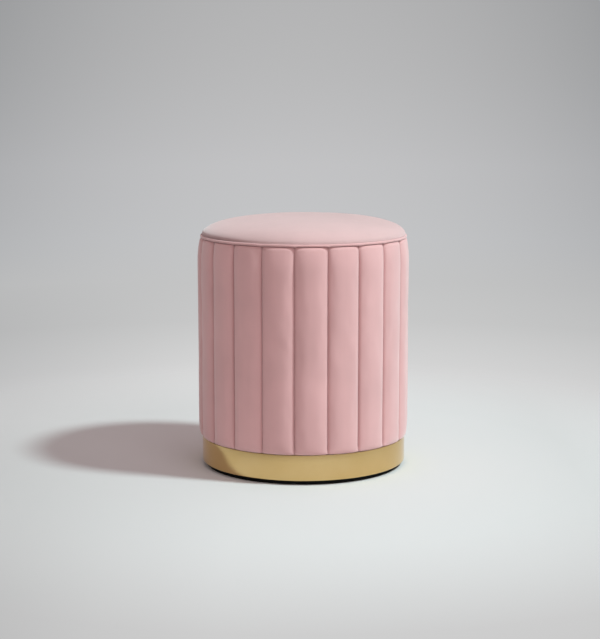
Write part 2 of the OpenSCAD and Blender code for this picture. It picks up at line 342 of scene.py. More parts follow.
def hardboard():
    look = hardboardLook
    finish = Finish("hardboard")
    place = finish.objectPlace()
    speck = finish.noise(place, look["speckScale"], 4.0, 0.7)
    mesh = finish.cells(place, look["meshScale"], randomness=0.2)
    colour = finish.mixed(finish.spread(speck, 0.35, 0.65), look["dark"], look["pale"])
    return finish.close(Base_Color=colour, Roughness=finish.spread(speck, 0.3, 0.7, *look["roughness"]),
                        Normal=finish.bump(speck * 0.6 + mesh * 0.4, look["depth"], 0.4))


# Zinc-plated steel: faint spangles
zincLook = {
    "dark": rgb(0.46, 0.46, 0.45),
    "pale": rgb(0.62, 0.61, 0.57),
    "roughness": (0.28, 0.45),
    "spangleScale": 900.0,
    "cloudScale": 300.0,
    "depth": 0.03 * mm,
}


def zincSteel():
    look = zincLook
    finish = Finish("zincSteel")
    place = finish.objectPlace()
    spangle = finish.cells(place, look["spangleScale"])
    cloud = finish.noise(place, look["cloudScale"], 3.0)
    colour = finish.mixed(finish.spread(cloud, 0.3, 0.7), look["dark"], look["pale"])
    rough = finish.spread(spangle, 0.0, 0.6, *look["roughness"])
    return finish.close(Base_Color=colour, Metallic=1.0, Roughness=rough,
                        Normal=finish.bump(cloud, look["depth"], 0.3))


# Foam: open cells of two sizes
foamLook = {
    "inCell": rgb(0.62, 0.52, 0.30),
    "skin": rgb(0.86, 0.79, 0.56),
    "yellowed": rgb(0.80, 0.68, 0.40),
    "roughness": (0.9, 0.98),
    "cellScale": 900.0,
    "cellDepth": 0.3 * mm,
    "poreScale": 240.0,
    "tintScale": 9.0,
}


def seatingFoam():
    look = foamLook
    finish = Finish("seatingFoam")
    place = finish.objectPlace()
    cells = finish.cells(place, look["cellScale"], "DISTANCE_TO_EDGE")
    pores = finish.cells(place, look["poreScale"])
    tint = finish.noise(place, look["tintScale"], 2.0)
    skin = finish.spread(cells, 0.0, 0.12)
    openness = finish.spread(skin * 0.6 + pores * 0.4, 0.2, 0.8)
    colour = finish.mixed(openness, look["inCell"], look["skin"])
    colour = finish.mixed(finish.spread(tint, 0.3, 0.8, 0.0, 0.4), colour, look["yellowed"])
    return finish.close(Base_Color=colour, Roughness=finish.spread(tint, 0.2, 0.8, *look["roughness"]),
                        Normal=finish.bump(skin, look["cellDepth"], 0.6))


# Wadding: loose white strands in soft tufts
waddingLook = {
    "dark": rgb(0.74, 0.73, 0.70),
    "pale": rgb(0.88, 0.87, 0.85),
    "roughness": (0.9, 1.0),
    "strands": (60.0, 500.0, 260.0),
    "tuftScale": 70.0,
    "depth": 0.5 * mm,
}


def fluffyWadding():
    look = waddingLook
    finish = Finish("fluffyWadding")
    place = finish.objectPlace()
    strands = finish.noise(finish.stretched(place, look["strands"]), 1.0, 5.0, 0.7)
    tufts = finish.noise(place, look["tuftScale"], 3.0)
    colour = finish.mixed(finish.spread(strands, 0.3, 0.7), look["dark"], look["pale"])
    return finish.close(Base_Color=colour, Roughness=finish.spread(tufts, 0.2, 0.8, *look["roughness"]),
                        Normal=finish.bump(strands * 0.6 + tufts * 0.4, look["depth"], 0.6))


# Plain woven cloth, as one thread over and one under
clothLook = {
    "roughness": (0.82, 0.95),
    "waveScale": 0.16,    # for a thread of one unit, so that one wave is about two threads
    "slub": (500.0, 500.0, 60.0),
    "depth": 0.15 * mm,
}


def wovenCloth(name, pale, dark, thread):
    look = clothLook
    finish = Finish(name)
    place = finish.objectPlace()
    waves = []
    for direction in ("X", "Z"):
        settings = {"wave_type": "BANDS", "bands_direction": direction, "wave_profile": "SIN"}
        inputs = {"Vector": place, "Scale": look["waveScale"] / thread,
                  "Distortion": 0.6, "Detail": 1.0, "Detail Scale": 2.0}
        waves.append(finish.node("TexWave", settings, inputs)["Fac"])
    weave = waves[0] * 0.5 + waves[1] * 0.5
    slub = finish.noise(finish.stretched(place, look["slub"]), 1.0, 3.0)
    colour = finish.mixed(finish.spread(weave * 0.6 + slub * 0.4, 0.2, 0.8), dark, pale)
    return finish.close(Base_Color=colour, Roughness=finish.spread(slub, 0.2, 0.8, *look["roughness"]),
                        Normal=finish.bump(weave, look["depth"], 0.5))


velvetSide = velvet("velvetSide")
# The seat's velvet is a less red copy of the side's, so the top reads paler: painted light for light
# glancing across it
velvetSeat = velvet("velvetSeat", (0.845, 0.965, 0.965), sheen=0.50, sheenRoughness=0.56)
velvetWelt = velvet("velvetWelt", (0.96, 0.97, 0.97))
brass = satinBrass()
black = mouldedBlack()
dust = dustCloth()
boardWood = plywood("boardWood", ply=1.25 * mm, tone=1.0)
postWood = plywood("postWood", ply=60 * mm, tone=1.08)
shellBoard = hardboard()
steel = zincSteel()
foam = seatingFoam()
fluff = fluffyWadding()
backing = wovenCloth("backing", rgb(0.70, 0.66, 0.56), rgb(0.50, 0.46, 0.37), thread=0.5 * mm)
cordCotton = wovenCloth("cordCotton", rgb(0.80, 0.77, 0.69), rgb(0.58, 0.54, 0.46), thread=0.4 * mm)
print("materials made")

nodeFinishes = {
    "foot_ring": black, "foot_screws": steel, "dust_cover": dust,
    "plinth_ring_lower": boardWood, "plinth_ring_upper": boardWood, "plinth_screws": steel,
    "brass_band": brass, "band_pins": brass,
    "bottom_board": boardWood, "bottom_board_screws": steel,
    "top_board": boardWood, "top_board_screws": steel,
    "drum_shell": shellBoard, "shell_tacks": steel,
    "backing_cloth": backing, "side_cover": velvetSide, "cover_staples": steel,
    "welt_cord": cordCotton, "welt_cover": velvetWelt,
    "seat_foam": foam, "seat_wadding": fluff, "seat_cover": velvetSeat,
}
for nodeName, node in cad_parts.items():
    if nodeName.startswith("upright"):
        paint(node, postWood)
    elif nodeName.startswith("channel_foam"):
        paint(node, foam)
    else:
        paint(node, nodeFinishes[nodeName])
print("frame painted")


def smoothed(mesh):
    for face in mesh.polygons:
        face.use_smooth = True


# Each face starts at its lowest corner, so that the mesh is the same each run
def fillMesh(mesh, bm):
    bm.verts.index_update()
    faces = []
    for face in bm.faces:
        corners = [vert.index for vert in face.verts]
        first = corners.index(min(corners))
        faces.append(corners[first:] + corners[:first])
    places = [vert.co.copy() for vert in bm.verts]
    bm.free()
    mesh.clear_geometry()
    mesh.from_pydata(places, [], faces)


def linked(name, bm):
    mesh = bpy.data.meshes.new(name)
    fillMesh(mesh, bm)
    made = bpy.data.objects.new(name, mesh)
    bpy.context.scene.collection.objects.link(made)
    smoothed(mesh)
    return made


def addPiece(name, bm, material, replaced):
    piece = linked(name, bm)
    paint(piece, material)
    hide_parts(*replaced)
    return piece


def subdivided(piece, levels):
    subsurf = piece.modifiers.new("roundness", "SUBSURF")
    subsurf.levels = levels
    subsurf.render_levels = levels


def thickened(piece, thickness, offset=-1):
    solidify = piece.modifiers.new("thickness", "SOLIDIFY")
    solidify.thickness = thickness
    solidify.offset = offset


# Turns an outline of (radius, height) points round the drum's axis
def turned(outline, steps, closed=False, start=0.0, sweep=math.tau):
    bm = bmesh.new()
    verts = [bm.verts.new((r, 0, z)) for r, z in outline]
    pairs = list(zip(verts, verts[1:]))
    if closed:
        pairs.append((verts[-1], verts[0]))
    edges = [bm.edges.new(pair) for pair in pairs]
    bmesh.ops.rotate(bm, verts=verts, cent=(0, 0, 0), matrix=Matrix.Rotation(start, 3, "Z"))
    full = sweep == math.tau
    bmesh.ops.spin(bm, geom=verts + edges, cent=(0, 0, 0), axis=(0, 0, 1),
                   angle=sweep, steps=steps, use_merge=full)
    bmesh.ops.remove_doubles(bm, verts=bm.verts, dist=mergeReach)
    if closed and not full:
        bmesh.ops.holes_fill(bm, edges=[edge for edge in bm.edges if edge.is_boundary])
    turnOutwards(bm)
    return bm


# Mesh operators list what they make in another order each run, and the cloth simulation follows that order
def settleOrder(bm):
    spots = {vert: tuple(round(length, settledDigits) for length in vert.co) for vert in bm.verts}
    for number, vert in enumerate(sorted(bm.verts, key=spots.get)):
        vert.index = number
    bm.verts.sort()
    bm.verts.index_update()
    for elements in (bm.edges, bm.faces):
        corners = {element: sorted(vert.index for vert in element.verts) for element in elements}
        for number, element in enumerate(sorted(elements, key=corners.get)):
            element.index = number
        elements.sort()
        elements.index_update()


# Faces point outwards: the widest one away from the axis
def turnOutwards(bm):
    settleOrder(bm)
    bmesh.ops.recalc_face_normals(bm, faces=bm.faces)
    bm.normal_update()
    widest = max(bm.faces, key=lambda face: face.calc_center_median().xy.length)
    centre = widest.calc_center_median()
    if widest.normal.xy.dot(centre.xy) < 0:
        bmesh.ops.reverse_faces(bm, faces=bm.faces)


def arc(centreR, centreZ, radius, startAngle, endAngle, steps):
    angles = [math.radians(startAngle + (endAngle - startAngle) * i / steps) for i in range(steps + 1)]
    return [(centreR + radius * math.cos(a), centreZ + radius * math.sin(a)) for a in angles]


def clamp(value, low=0.0, high=1.0):
    return max(low, min(high, value))


def ease(t):
    t = clamp(t)
    return t * t * (3 - 2 * t)


# Smooth unevenness from -1 to 1, the same each time
def wander(x, y, z):
    return noise.noise(Vector((x, y, z)))


# The camera, from the fit to the photograph
camera = {
    "lens": 90.17,
    "sensorWidth": 36,
    "clipEnd": 60,
    "distance": 2630 * mm,
    "height": 646 * mm,
    "tilt": 8.78,
    "turn": 4.0,
    "aside": 5.85 * mm,
}


def placeCamera():
    data = bpy.data.cameras.new("camera")
    data.lens = camera["lens"]
    data.sensor_width = camera["sensorWidth"]
    data.clip_end = camera["clipEnd"]
    cameraObject = bpy.data.objects.new("camera", data)
    bpy.context.scene.collection.objects.link(cameraObject)
    turn = math.radians(camera["turn"])
    ahead = Vector((math.sin(turn), math.cos(turn), 0))
    right = Vector((math.cos(turn), -math.sin(turn), 0))
    place = -ahead * camera["distance"] - right * camera["aside"]
    place.z = camera["height"]
    cameraObject.location = place
    cameraObject.rotation_euler = (math.radians(90 - camera["tilt"]), 0, -turn)
    bpy.context.scene.camera = cameraObject
    return ahead, right


ahead, right = placeCamera()
print("camera placed")

sideLow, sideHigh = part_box("side_cover")
crestRadius = sideHigh.x
footHeight = sideLow.z
seamHeight = sideHigh.z
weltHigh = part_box("welt_cover")[1]
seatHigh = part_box("seat_cover")[1]
bandLow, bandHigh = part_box("brass_band")
frontAngle = math.radians(-90)


# The channelled side
side = {
    "channels": 20,
    "columns": 14,            # across one channel
    "rows": 41,
    "seamCrowding": 1.6,      # columns gather towards the seams
    "endCrowding": 0.8,       # rows gather towards both ends
    "valley": 9.5 * mm,       # how deep the sewn seams lie
    "flatness": 2.7,          # how flat a channel's middle is
    "tightness": 0.42,        # how sharply it turns into the seam
    "shoulderIn": 3.7 * mm,
    "shoulderLength": 40 * mm,
    "topRoll": 6 * mm,
    "topRollPower": 2.2,
    "topRadius": 167.7 * mm,
    "seamBlend": 1.4,         # over how many top rolls a seam comes out to the top
    "cornerDip": 1.6 * mm,    # how much further in the top lies at a seam
    "cornerReach": 0.4,       # how much lower a channel's top corners start
    "footIn": 1.2 * mm,
    "footLength": 24 * mm,
    "footRoll": 10 * mm,
    "footRollPower": 2.0,
    "footRadius": 168.9 * mm,
    "footSquareness": 2.4,
    "hemRadius": 129 * mm,
    "allowanceRadius": 158.5 * mm,
    "velvet": 1.2 * mm,
    "beforePuff": 0.9 * mm,   # how far in it starts, as the simulation swells it
    "sink": 0.3 * mm,         # how far the simulation may draw it in
    "crestDrift": 0.3 * mm,   # how unevenly the crests stand
    "wobble": 0.35 * mm,      # how far a seam strays sideways
    "straightEnds": 25 * mm,  # how near its ends it runs straight again
    "pucker": 0.22 * mm,
    "softness": 0.35 * mm,
    "calmEnds": 20 * mm,      # how near its ends the velvet lies even
    "slackAside": 2.6,        # how many degrees a slack place reaches to either side
}
# Places where a channel is a little slack beside its seam: seam angle, height, reach up and down, depth
slackPlaces = [
    (-117, 245 * mm, 22 * mm, 1.1 * mm),
    (-63, 130 * mm, 26 * mm, 0.6 * mm),
    (27, 210 * mm, 30 * mm, 0.8 * mm),
]
channelStep = math.tau / side["channels"]


# Which channel an angle falls in, and how far across it: -1 and 1 at the seams, 0 at the crest
def acrossChannel(angle):
    turns = (angle - frontAngle) / channelStep
    number = round(turns)
    return number % side["channels"], 2 * (turns - number)


# Moves columns towards the seams at -1 and 1
def crowded(share, power):
    return math.copysign(1 - (1 - min(1.0, abs(share))) ** power, share)


def slackAt(angle, height):
    depth = 0.0
    for seamAngle, place, reach, most in slackPlaces:
        aside = (math.degrees(angle) - seamAngle + 180) % 360 - 180
        along = (height - place) / reach
        depth += most * math.exp(-along * along) * math.exp(-(aside / side["slackAside"]) ** 2)
    return depth


# How far out the velvet lies: swelled between its seams, rolled in at the top and drawn in at the foot
def sideRadius(angle, height, inset=0.0):
    number, across = acrossChannel(angle)
    fromTop = seamHeight - height
    fromFoot = height - footHeight
    crest = crestRadius - side["beforePuff"]
    crest -= side["shoulderIn"] * clamp(1 - fromTop / side["shoulderLength"]) ** 2
    crest -= side["footIn"] * clamp(1 - fromFoot / side["footLength"]) ** 2
    crest -= side["crestDrift"] * (0.5 + 0.5 * wander(number * 3.7, height * 9, 1.3))
    valley = crestRadius - side["valley"]
    topRadius = side["topRadius"] - side["cornerDip"] * abs(across) ** 6
    valley += (topRadius - valley) * (1 - ease(fromTop / (side["seamBlend"] * side["topRoll"])))
    valley += (side["footRadius"] - valley) * (1 - ease(fromFoot / side["footRoll"]))
    topRoll = side["topRoll"] * (1 + side["cornerReach"] * across ** 4)
    top = clamp(1 - fromTop / topRoll) ** side["topRollPower"]
    foot = clamp(1 - fromFoot / side["footRoll"]) ** side["footRollPower"]
    flat = abs(across) ** side["flatness"]
    square = side["footSquareness"]
    swell = clamp(1 - (flat ** square + foot ** square) ** (1 / square) - top) ** side["tightness"]
    edge = abs(across) ** 5 * (1 - abs(across) ** 24)
    stitchPull = side["pucker"] * edge * wander(number * 5.1 + across, height * 110, 4.2)
    calm = min(1, fromTop / side["calmEnds"], fromFoot / side["calmEnds"])
    soft = side["softness"] * wander(math.cos(angle) * 2.2, math.sin(angle) * 2.2, height * 7) * calm
    radius = valley + (crest - valley) * swell - inset + stitchPull
    return radius + (soft - slackAt(angle, height)) * swell


# How far a seam strays sideways, as an angle
def seamShift(angle, height):
    number, across = acrossChannel(angle)
    seam = number + (0.5 if across > 0 else -0.5)
    fromEnd = min(seamHeight - height, height - footHeight)
    free = min(1, fromEnd / side["straightEnds"])
    drift = wander(seam * 7.3, height * 11, 8.8) * side["wobble"] * max(0, free)
    return drift * abs(across) ** 4 / crestRadius


def rowHeight(share):
    crowd = side["endCrowding"] * math.sin(math.tau * share) / math.tau
    return footHeight + (seamHeight - footHeight) * (share - crowd)


def placeOnSide(angle, share):
    number, across = acrossChannel(angle)
    centre = frontAngle + number * channelStep
    angle = centre + crowded(across, side["seamCrowding"]) * channelStep / 2
    height = rowHeight(share)
    radius = sideRadius(angle, height)
    angle += seamShift(angle, height)
    return Vector((radius * math.cos(angle), radius * math.sin(angle), height))


# Swells a pinned skin of velvet by a light pressure from inside, and keeps the result as plain mesh
puff = {
    "frames": 20,
    "quality": 6,
    "mass": 0.25,
    "pressure": 1.2,
    "stiffness": 18.0,
    "bending": 1.2,
    "spare": -0.003,          # under zero, so the velvet has a little more cloth than its place
    "most": 0.8 * mm,         # how far out it may move
}


def puffUp(piece, pinned, sink):
    start = [(vert.co.copy(), vert.normal.copy()) for vert in piece.data.vertices]
    group = piece.vertex_groups.new(name="pinned")
    group.add(pinned, 1.0, "REPLACE")
    cloth = piece.modifiers.new("puff", "CLOTH")
    settings = cloth.settings
    settings.quality = puff["quality"]
    settings.mass = puff["mass"]
    settings.tension_stiffness = puff["stiffness"]
    settings.compression_stiffness = puff["stiffness"]
    settings.shear_stiffness = puff["stiffness"] / 2
    settings.bending_stiffness = puff["bending"]
    settings.shrink_min = puff["spare"]
    settings.vertex_group_mass = "pinned"
    settings.use_pressure = True
    settings.uniform_pressure_force = puff["pressure"]
    settings.effector_weights.gravity = 0
    cloth.collision_settings.use_collision = False
    cloth.point_cache.frame_start = 1
    cloth.point_cache.frame_end = puff["frames"]
    scene = bpy.context.scene
    for number in range(1, puff["frames"] + 1):
        scene.frame_set(number)
    depsgraph = bpy.context.evaluated_depsgraph_get()
    swollen = [vert.co.copy() for vert in piece.evaluated_get(depsgraph).data.vertices]
    piece.modifiers.remove(cloth)
    piece.vertex_groups.clear()
    scene.frame_set(1)
    rises = [(new - old).dot(normal) for (old, normal), new in zip(start, swollen)]
    for vert, (old, normal), rise in zip(piece.data.vertices, start, rises):
        vert.co = old + normal * clamp(rise, -sink, puff["most"])
    print(piece.name, "puffed by", round(min(rises) / mm, 2), "to", round(max(rises) / mm, 2), "mm")


# Stores painted shade on a piece's points, as the attribute its velvet darkens by
def markPaintedShade(piece, measure):
    fold = piece.data.attributes.new("fold", "FLOAT", "POINT")
    for vert, item in zip(piece.data.vertices, fold.data):
        item.value = measure(vert.co)


# How much painted shade the side has in its seams, which widen where the velvet gathers at their tops, and
# under the welt
sidePaintedShade = {
    "seam": 0.45,
    "seamThinness": 26,
    "gathered": 0.35,         # added at the top
    "gatheredThinness": 18,   # taken off at the top
    "gatheredHeight": 6 * mm,
    "crease": 0.15,
    "creaseHeight": 2.0 * mm,
}


# Painted shade on the side velvet: in the seams, wider at their tops, and in a crease under the welt
def paintedSideShade(place):
    across = acrossChannel(math.atan2(place.y, place.x))[1]
    fromTop = seamHeight - place.z
    gathered = clamp(1 - fromTop / sidePaintedShade["gatheredHeight"])
    thinness = sidePaintedShade["seamThinness"] - sidePaintedShade["gatheredThinness"] * gathered
    seam = (sidePaintedShade["seam"] + sidePaintedShade["gathered"] * gathered) * abs(across) ** thinness
    crease = sidePaintedShade["crease"] * clamp(1 - fromTop / sidePaintedShade["creaseHeight"])
    return clamp(max(seam, crease))


def makeSide():
    segments = side["channels"] * side["columns"]
    bm = bmesh.new()
    bmesh.ops.create_circle(bm, segments=segments, radius=crestRadius, cap_ends=False)
    bmesh.ops.translate(bm, verts=bm.verts, vec=(0, 0, footHeight))
    raised = bmesh.ops.extrude_edge_only(bm, edges=list(bm.edges))
    top = [item for item in raised["geom"] if isinstance(item, bmesh.types.BMVert)]
    bmesh.ops.translate(bm, verts=top, vec=(0, 0, seamHeight - footHeight))
    uprights = [edge for edge in bm.edges if abs(edge.verts[0].co.z - edge.verts[1].co.z) > hair]
    bmesh.ops.subdivide_edges(bm, edges=uprights, cuts=side["rows"] - 1, use_grid_fill=True)
    turnOutwards(bm)
    pinned = []
    for vert in bm.verts:
        column = round(math.atan2(vert.co.y, vert.co.x) / math.tau * segments)
        angle = column * math.tau / segments
        row = round((vert.co.z - footHeight) / (seamHeight - footHeight) * side["rows"])
        onSeam = abs(acrossChannel(angle)[1]) > 0.99
        if onSeam or row in (0, side["rows"]):
            pinned.append(vert.index)
        vert.co = placeOnSide(angle, row / side["rows"])
    piece = addPiece("sideVelvet", bm, velvetSide, ["side_cover"])
    puffUp(piece, pinned, side["sink"])
    # The hem turns in under the frame, and the allowance turns in at the seam
    bm = bmesh.new()
    bm.from_mesh(piece.data)
    for height, radius in ((footHeight, side["hemRadius"]), (seamHeight, side["allowanceRadius"])):
        rim = [edge for edge in bm.edges if edge.is_boundary and abs(edge.verts[0].co.z - height) < hair]
        turnedIn = bmesh.ops.extrude_edge_only(bm, edges=rim)
        for item in turnedIn["geom"]:
            if isinstance(item, bmesh.types.BMVert):
                item.co.xy *= radius / item.co.xy.length
    turnOutwards(bm)
    fillMesh(piece.data, bm)
    smoothed(piece.data)
    markPaintedShade(piece, paintedSideShade)
    thickened(piece, side["velvet"])
    subdivided(piece, 1)
    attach(piece, "root")


makeSide()
print("side made")


# One foam strip for each channel, filling it behind the velvet
strip = {
    "columns": 8,
    "rows": 30,
    "inset": 1.7 * mm,
    "backRadius": 161.3 * mm,
    "leastDepth": 2 * mm,
    "endInset": 2.2 * mm,
    "webShare": 0.93,         # how much of the channel's width it takes
}


def makeFoamStrip(number):
    name = f"channel_foam_{number + 1:02d}"
    bm = bmesh.new()
    bmesh.ops.create_grid(bm, x_segments=strip["columns"], y_segments=strip["rows"], size=1)
    centre = frontAngle + number * channelStep
    endShare = strip["endInset"] / (seamHeight - footHeight)
    leastRadius = strip["backRadius"] + strip["leastDepth"]

    def placed(x, y, radius=None):
        angle = centre + x * strip["webShare"] * channelStep / 2
        height = footHeight + (seamHeight - footHeight) * (endShare + (1 - 2 * endShare) * (y + 1) / 2)
        radius = radius or max(leastRadius, sideRadius(angle, height, strip["inset"]))
        return Vector((radius * math.cos(angle), radius * math.sin(angle), height))

    grid = {vert: vert.co.xy.copy() for vert in bm.verts}
    outer = bmesh.ops.extrude_face_region(bm, geom=list(bm.faces))
    for item in outer["geom"]:
        if isinstance(item, bmesh.types.BMVert):
            item.co = placed(item.co.x, item.co.y)
    for vert, (x, y) in grid.items():
        vert.co = placed(x, y, strip["backRadius"])
    bmesh.ops.recalc_face_normals(bm, faces=bm.faces)
    piece = addPiece(f"foamStrip.{number + 1:02d}", bm, foam, [name])
    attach(piece, "root")


for channel in range(side["channels"]):
    makeFoamStrip(channel)
print("foam strips made")


# The seat stands straight up at the welt and rounds over to its middle
seat = {
    "fullness": 3.7,
    "swell": 0.5 * mm,
    "steps": 180,
    "rings": 40,
    "velvet": 1.2 * mm,
    "wallGap": 0.5 * mm,      # from the welt's top to the foot of the wall
    "weltGap": 0.15 * mm,
    "weltArc": (84, 200, 9),  # where it lies round the welt: first and last degree, steps
    "pinnedAbove": 2 * mm,    # how far above the welt the simulation leaves it alone
    "sink": 0.0,              # how far the simulation may draw it in
    "softness": 0.5 * mm,
    "softReach": 40 * mm,     # how far in from the welt it is fully soft
    "crownFoot": 12 * mm,     # how far above the welt it is fully soft
    "lean": 0.7 * mm,         # the foam stands a little higher on one side
    "tuck": 1.2 * mm,         # on the lower side it rolls over its seam a little
    "tuckHeight": 7 * mm,
    "tuckFrom": 0.45,         # the cosine, round from that side, at which it begins
    "tuckOver": 0.4,          # and how much more of it makes it full
    # Painted shade above the seam, the second figures for the rolled-over side, which faces away from the
    # key lamp
    "seamShade": (0.08, 0.6),    # how dark it is above the seam, not rolled over and rolled over
    "seamShadeHeight": (2.2 * mm, 13 * mm),
    "seamShadeFoot": 0.4,     # in welt radii above the welt's centre
}
weltClearance = 0.1 * mm
weltRadius = (weltHigh.z - seamHeight - weltClearance) / 2
weltCentreR = weltHigh.x - weltRadius
weltCentreZ = weltHigh.z - weltRadius


def crownOutline():
    crownRadius = weltCentreR + seat["swell"]
    rise = seatHigh.z - weltCentreZ
    first = math.asin((weltRadius + seat["wallGap"]) / rise)
    outline = []
    for i in range(seat["rings"] + 1):
        angle = math.pi / 2 - (math.pi / 2 - first) * i / seat["rings"]
        radius = crownRadius * max(0.0, math.cos(angle)) ** (2 / seat["fullness"])
        outline.append((radius, weltCentreZ + rise * math.sin(angle)))
    outline[0] = (0.0, seatHigh.z)
    return outline


# How far a place on the seat has rolled over its seam, from 0 to 1
def rolledOver(place):
    return ease((-place.x / max(place.xy.length, hair) - seat["tuckFrom"]) / seat["tuckOver"])


def upCrown(height):
    return ease((height - weltHigh.z) / seat["crownFoot"])


# Painted shade on the seat just above the welt, deeper and higher on the rolled-over side away from the
# key lamp
def paintedSeatShade(place):
    rolled = rolledOver(place)
    least, most = seat["seamShade"]
    lowest, highest = seat["seamShadeHeight"]
    above = place.z - weltCentreZ - weltRadius * seat["seamShadeFoot"]
    return (least + (most - least) * rolled) * clamp(1 - above / (lowest + (highest - lowest) * rolled))


def makeSeat():
    outline = crownOutline()
    outline += arc(weltCentreR, weltCentreZ, weltRadius + seat["weltGap"], *seat["weltArc"])
    outline.append((side["allowanceRadius"], outline[-1][1]))
    bm = turned(outline, seat["steps"])
    wallFoot = weltCentreZ + weltRadius + seat["wallGap"]
    for vert in bm.verts:
        radius = vert.co.xy.length
        above = (vert.co.z - wallFoot) / seat["tuckHeight"]
        if above > -0.01:    # from the wall's own foot up
            inwards = seat["tuck"] * rolledOver(vert.co) * clamp(1 - above) ** 2
            vert.co.xy *= 1 - inwards / max(radius, hair)
        top = ease((weltCentreR - radius) / seat["softReach"]) * upCrown(vert.co.z)
        vert.co.z += seat["softness"] * wander(vert.co.x * 9, vert.co.y * 9, 2.2) * top
        vert.co.z += seat["lean"] * vert.co.x / weltCentreR * upCrown(vert.co.z)
    pinned = [vert.index for vert in bm.verts if vert.co.z < weltHigh.z + seat["pinnedAbove"]]
    piece = addPiece("seatVelvet", bm, velvetSeat, ["seat_cover"])
    puffUp(piece, pinned, seat["sink"])
    markPaintedShade(piece, paintedSeatShade)
    thickened(piece, seat["velvet"])
    subdivided(piece, 1)
    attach(piece, "root")


makeSeat()
print("seat made")


# The welt: velvet folded round a cord, its plies running in to the seam
welt = {
    "arc": (-62, 208, 18),    # round the cord: first and last degree, steps
    "ply": 1.4 * mm,
    "steps": 400,
    "waver": 0.12 * mm,
    "waverUp": 0.6,           # the share of that which also goes up and down
    "dip": 1.1 * mm,          # how far it dips at each channel seam
    # Painted shade at the welt's inner edge, more where the seat rolls over it, on the side away from the
    # key lamp
    "shade": 0.12,            # how dark it is at its inner edge
    "rolledShade": 0.2,       # added where the seat rolls over it
    "shadeFrom": 0.4 * mm,
    "shadeOver": 1.4 * mm,
}


# Painted shade on the welt at its inner edge, deeper where the seat rolls over it
def paintedWeltShade(place):
    share = welt["shade"] + welt["rolledShade"] * rolledOver(place)
    outwards = place.xy.length - weltCentreR + welt["shadeFrom"]
    return share * clamp(1 - outwards / welt["shadeOver"])


def makeWelt():
    outline = arc(weltCentreR, weltCentreZ, weltRadius, *welt["arc"])
    innerR = side["allowanceRadius"]
    outline += [(innerR, seamHeight + welt["ply"]), (innerR, seamHeight)]
    bm = turned(outline, welt["steps"], closed=True)
    for vert in bm.verts:
        angle = math.atan2(vert.co.y, vert.co.x)
        radius = vert.co.xy.length
        across = acrossChannel(angle)[1]
        outer = ease((radius - weltCentreR) / weltRadius)
        swell = wander(math.cos(angle) * 14, math.sin(angle) * 14, 3.1) * welt["waver"]
        vert.co.xy *= 1 + outer * swell / radius
        vert.co.z += outer * (swell * welt["waverUp"] - welt["dip"] * abs(across) ** 8)
    piece = addPiece("weltVelvet", bm, velvetWelt, ["welt_cover"])
    markPaintedShade(piece, paintedWeltShade)
    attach(piece, "root")


makeWelt()
print("welt made")


# The band: sheet rolled round the plinth, its lip bent in below, its ends butted at the back
band = {
    "sheet": 1.0 * mm,
    "lip": 5 * mm,
    "bend": 1.6 * mm,
    "edge": 0.35 * mm,
    "slit": 0.5 * mm,
    "steps": 360,
    "bendSteps": 8,
    "edgeSteps": 4,
}


def makeBand():
    outerR, lowZ, highZ = bandHigh.x, bandLow.z, bandHigh.z
    sheet, bend, edge = band["sheet"], band["bend"], band["edge"]
    bendSteps, edgeSteps = band["bendSteps"], band["edgeSteps"]
    innerBend = bend - sheet
    outline = [(outerR - band["lip"], lowZ + sheet), (outerR - band["lip"], lowZ)]
    outline += arc(outerR - bend, lowZ + bend, bend, -90, 0, bendSteps)
    outline += arc(outerR - edge, highZ - edge, edge, 0, 90, edgeSteps)
    outline += arc(outerR - sheet + edge, highZ - edge, edge, 90, 180, edgeSteps)
    outline += arc(outerR - sheet - innerBend, lowZ + sheet + innerBend, innerBend, 0, -90, edgeSteps)
    back = math.radians(90)
    slitAngle = band["slit"] / outerR
    bm = turned(outline, band["steps"], True, back + slitAngle / 2, math.tau - slitAngle)
    piece = addPiece("brassBand", bm, brass, ["brass_band"])
    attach(piece, "root")


makeBand()
print("band made")


# The dust cover: a disc stretched between the plinth and the foot ring, a little uneven in its middle
cover = {
    "radius": 161 * mm,
    "rise": 0.15 * mm,        # its middle, up from the foot ring
    "held": 137 * mm,         # outside this it is gripped
    "unevenness": 1.1 * mm,
    "unevenOver": 30 * mm,
    "thickness": 0.4 * mm,
    "rings": 24,
    "steps": 120,
}


def makeDustCover():
    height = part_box("dust_cover")[0].z + cover["rise"]
    outline = [(cover["radius"] * i / cover["rings"], height) for i in range(cover["rings"] + 1)]
    bm = turned(outline, cover["steps"])
    for vert in bm.verts:
        radius = vert.co.xy.length
        loose = ease((cover["held"] - radius) / cover["unevenOver"])
        angle = math.atan2(vert.co.y, vert.co.x)
        pull = wander(math.cos(angle) * 6, math.sin(angle) * 6, radius * 12)
        vert.co.z += loose * cover["unevenness"] * (0.5 + pull)
    bmesh.ops.recalc_face_normals(bm, faces=bm.faces)
    piece = addPiece("dustCloth", bm, dust, ["dust_cover"])
    thickened(piece, cover["thickness"], offset=0)
    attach(piece, "root")


makeDustCover()
print("dust cover made")


# Floor and backdrop in one sweep, the same from every side
stageSizes = {"flat": 3.1, "bend": 2.4, "height": 3.4, "steps": 96, "flatSteps": 10, "bendSteps": 24}
# The floor is painted lighter near the object and darker outwards: a painted pool of light
floorTones = {"near": rgb(0.708, 0.690, 0.690), "far": rgb(0.598, 0.581, 0.581)}
# Painted light: the backdrop's glowing tones, darker outwards, seen only by camera and glossy rays
backdropGlowTones = [
    (0.0, (0.755, 0.755, 0.755)), (0.1, (0.655, 0.655, 0.655)), (0.23, (0.58, 0.582, 0.582)),
    (0.4, (0.558, 0.56, 0.562)), (0.64, (0.555, 0.56, 0.57)), (0.80, (0.54, 0.54, 0.55)),
    (0.93, (0.48, 0.48, 0.485)), (1.0, (0.45, 0.45, 0.455)),
]
